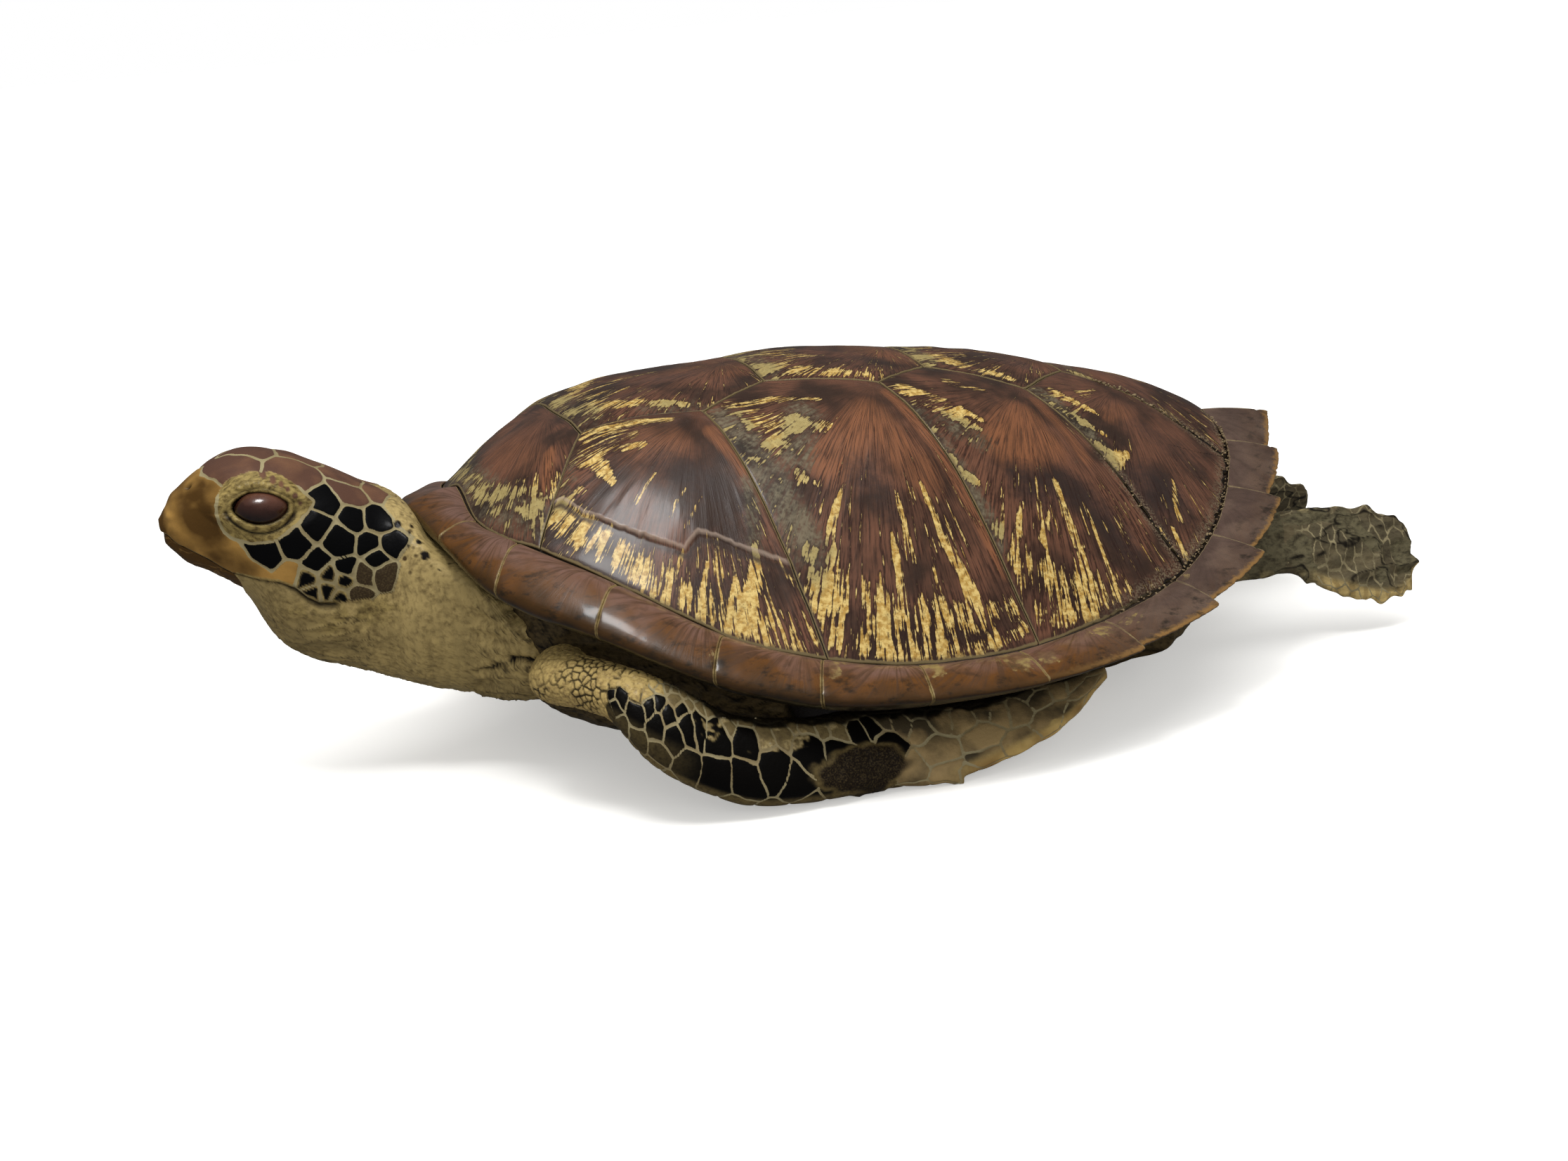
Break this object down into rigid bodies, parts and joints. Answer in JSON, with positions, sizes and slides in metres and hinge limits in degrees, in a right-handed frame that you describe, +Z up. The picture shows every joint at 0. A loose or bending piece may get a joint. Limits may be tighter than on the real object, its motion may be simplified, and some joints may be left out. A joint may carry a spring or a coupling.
{
  "type": "mounted sea turtle",
  "caption": "Whole mounted sea turtle at rest on its belly: plated shell, head and neck on a stuffed body, folded front flippers, short hind flippers and tail.",
  "frame": {"origin": "centre of the flat belly face that the mount rests on, below the middle of the carapace", "axes": "+Z up, -X towards the head, -Y towards the turtle's left side"},
  "size_m": [0.6685, 0.4, 0.1849],
  "materials": {
    "horn_dome_plates": "varnished horn, dark red brown with cream flame streaks",
    "horn_rim_plates": "varnished horn, brown with amber edge and pale seams",
    "bone": "dry bone and plastron horn, cream",
    "jaw_horn": "olive yellow beak horn",
    "eye_glass": "polished dark brown eye",
    "head_skin": "dried skin, olive tan with dark scales",
    "limb_skin": "dried scaly skin, dark brown with pale creases"
  },
  "bodies": {
    "root": {"costal_scute_left_1": "horn_dome_plates", "costal_scute_left_2": "horn_dome_plates", "costal_scute_left_3": "horn_dome_plates", "costal_scute_left_4": "horn_dome_plates", "costal_scute_right_1": "horn_dome_plates", "costal_scute_right_2": "horn_dome_plates", "costal_scute_right_3": "horn_dome_plates", "costal_scute_right_4": "horn_dome_plates", "eye_left": "eye_glass", "eye_right": "eye_glass", "front_flipper_left": "limb_skin", "front_flipper_right": "limb_skin", "front_skin": "limb_skin", "head_and_neck": "head_skin", "lower_jaw": "jaw_horn", "marginal_scute_left_1": "horn_rim_plates", "marginal_scute_left_10": "horn_rim_plates", "marginal_scute_left_11": "horn_rim_plates", "marginal_scute_left_2": "horn_rim_plates", "marginal_scute_left_3": "horn_rim_plates", "marginal_scute_left_4": "horn_rim_plates", "marginal_scute_left_5": "horn_rim_plates", "marginal_scute_left_6": "horn_rim_plates", "marginal_scute_left_7": "horn_rim_plates", "marginal_scute_left_8": "horn_rim_plates", "marginal_scute_left_9": "horn_rim_plates", "marginal_scute_right_1": "horn_rim_plates", "marginal_scute_right_10": "horn_rim_plates", "marginal_scute_right_11": "horn_rim_plates", "marginal_scute_right_2": "horn_rim_plates", "marginal_scute_right_3": "horn_rim_plates", "marginal_scute_right_4": "horn_rim_plates", "marginal_scute_right_5": "horn_rim_plates", "marginal_scute_right_6": "horn_rim_plates", "marginal_scute_right_7": "horn_rim_plates", "marginal_scute_right_8": "horn_rim_plates", "marginal_scute_right_9": "horn_rim_plates", "nuchal_scute": "horn_rim_plates", "rear_flipper_left": "limb_skin", "rear_flipper_right": "limb_skin", "rear_skin": "limb_skin", "shell_bone": "bone", "supracaudal_scute_left": "horn_rim_plates", "supracaudal_scute_right": "horn_rim_plates", "tail": "limb_skin", "vertebral_scute_1": "horn_dome_plates", "vertebral_scute_2": "horn_dome_plates", "vertebral_scute_3": "horn_dome_plates", "vertebral_scute_4": "horn_dome_plates", "vertebral_scute_5": "horn_dome_plates"}
  },
  "joints": []
}
